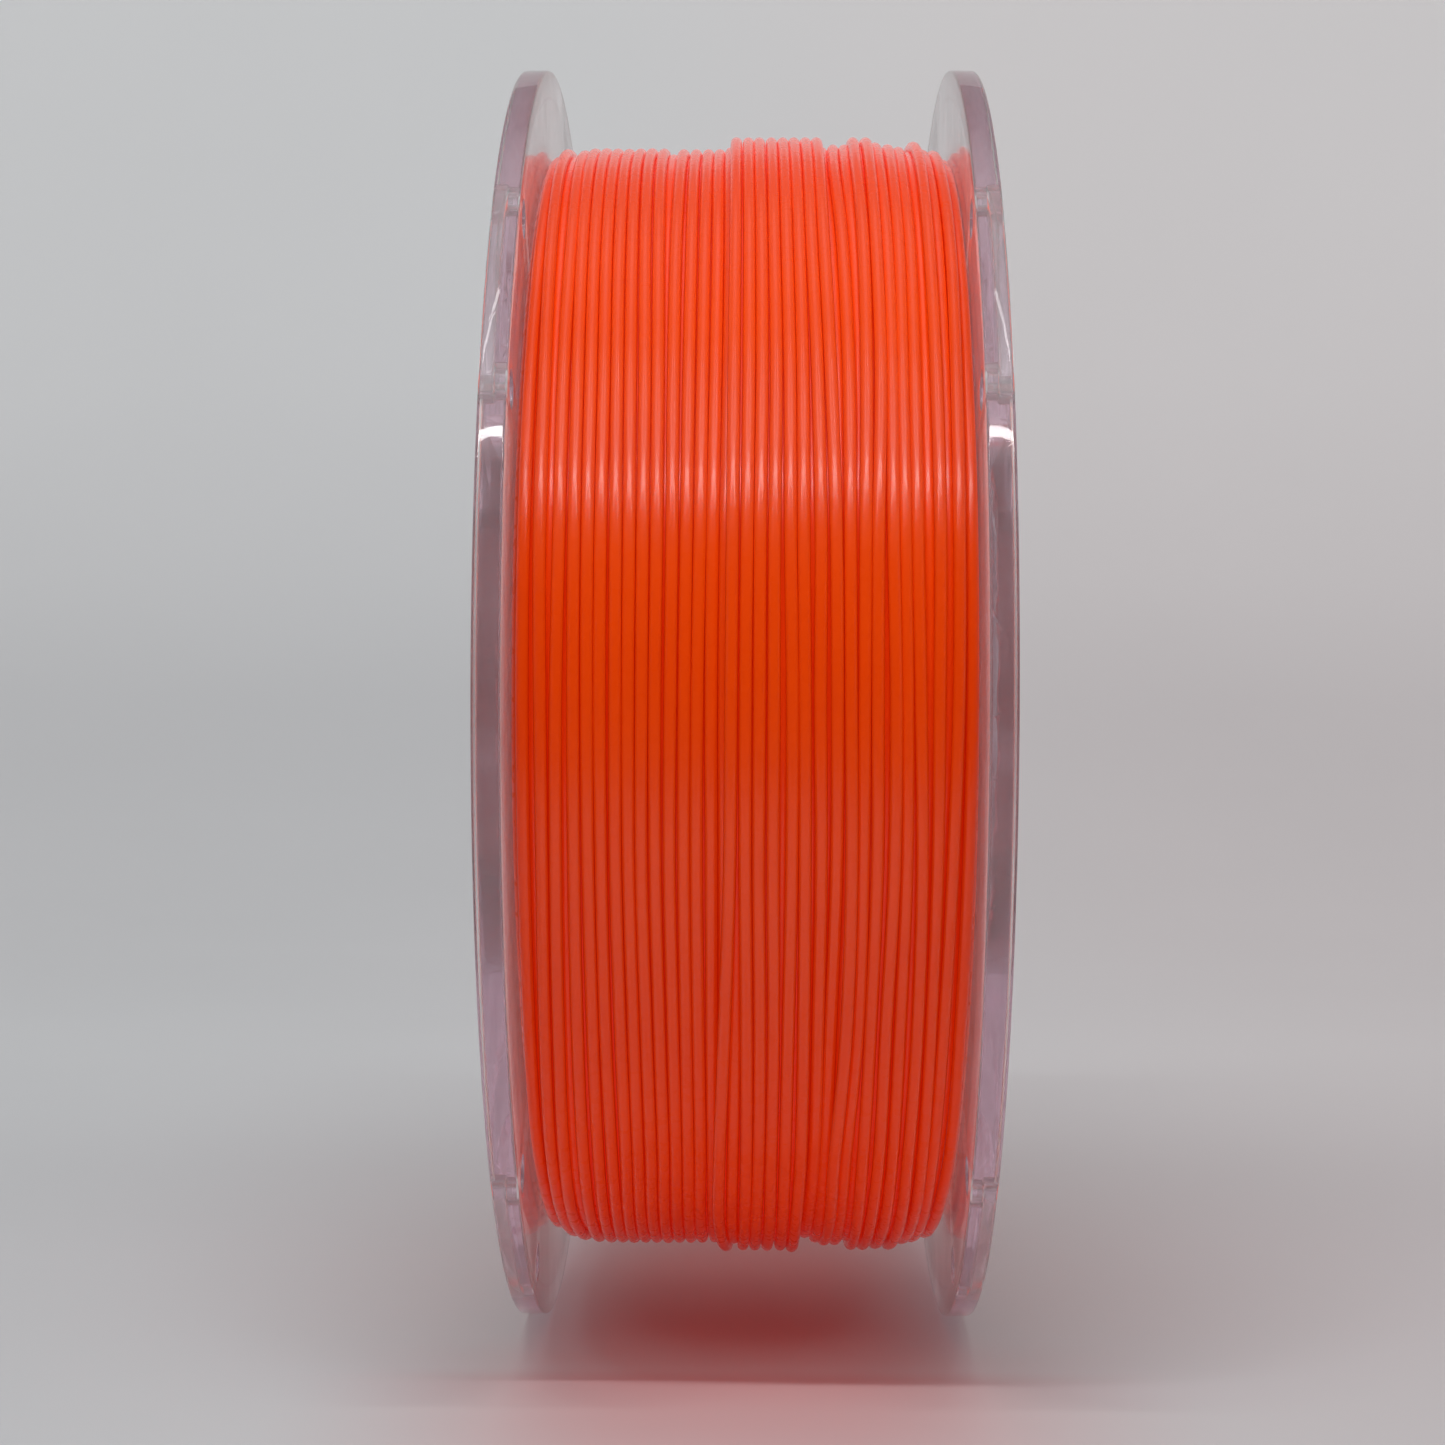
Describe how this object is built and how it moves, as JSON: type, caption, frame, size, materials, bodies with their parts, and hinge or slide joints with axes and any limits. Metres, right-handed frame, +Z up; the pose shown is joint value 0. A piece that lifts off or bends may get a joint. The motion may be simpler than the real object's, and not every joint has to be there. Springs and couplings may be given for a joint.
{
  "type": "filament spool",
  "caption": "Clear plastic spool of glossy neon-orange printer filament: two flanges with rim recesses, ribbed hub barrel and a spindle bore.",
  "frame": {"origin": "middle of the spindle bore, on the spool's axis", "axes": "+Z up with the spool standing on its rim, +X along the spindle axis to the right, -Y the side the picture shows"},
  "size_m": [0.07, 0.2, 0.2],
  "materials": {
    "clear_plastic": "clear, polished, with a faint lilac tint seen edge-on",
    "filament": "glossy neon orange"
  },
  "bodies": {
    "root": {"left_flange": "clear_plastic", "right_flange": "clear_plastic", "spindle_tube": "clear_plastic", "hub_barrel": "clear_plastic", "filament_inner_layers": "filament", "filament_outer_layers": "filament", "filament_last_turns": "filament", "filament_free_end": "filament", "filament_start_end": "filament"}
  },
  "joints": []
}
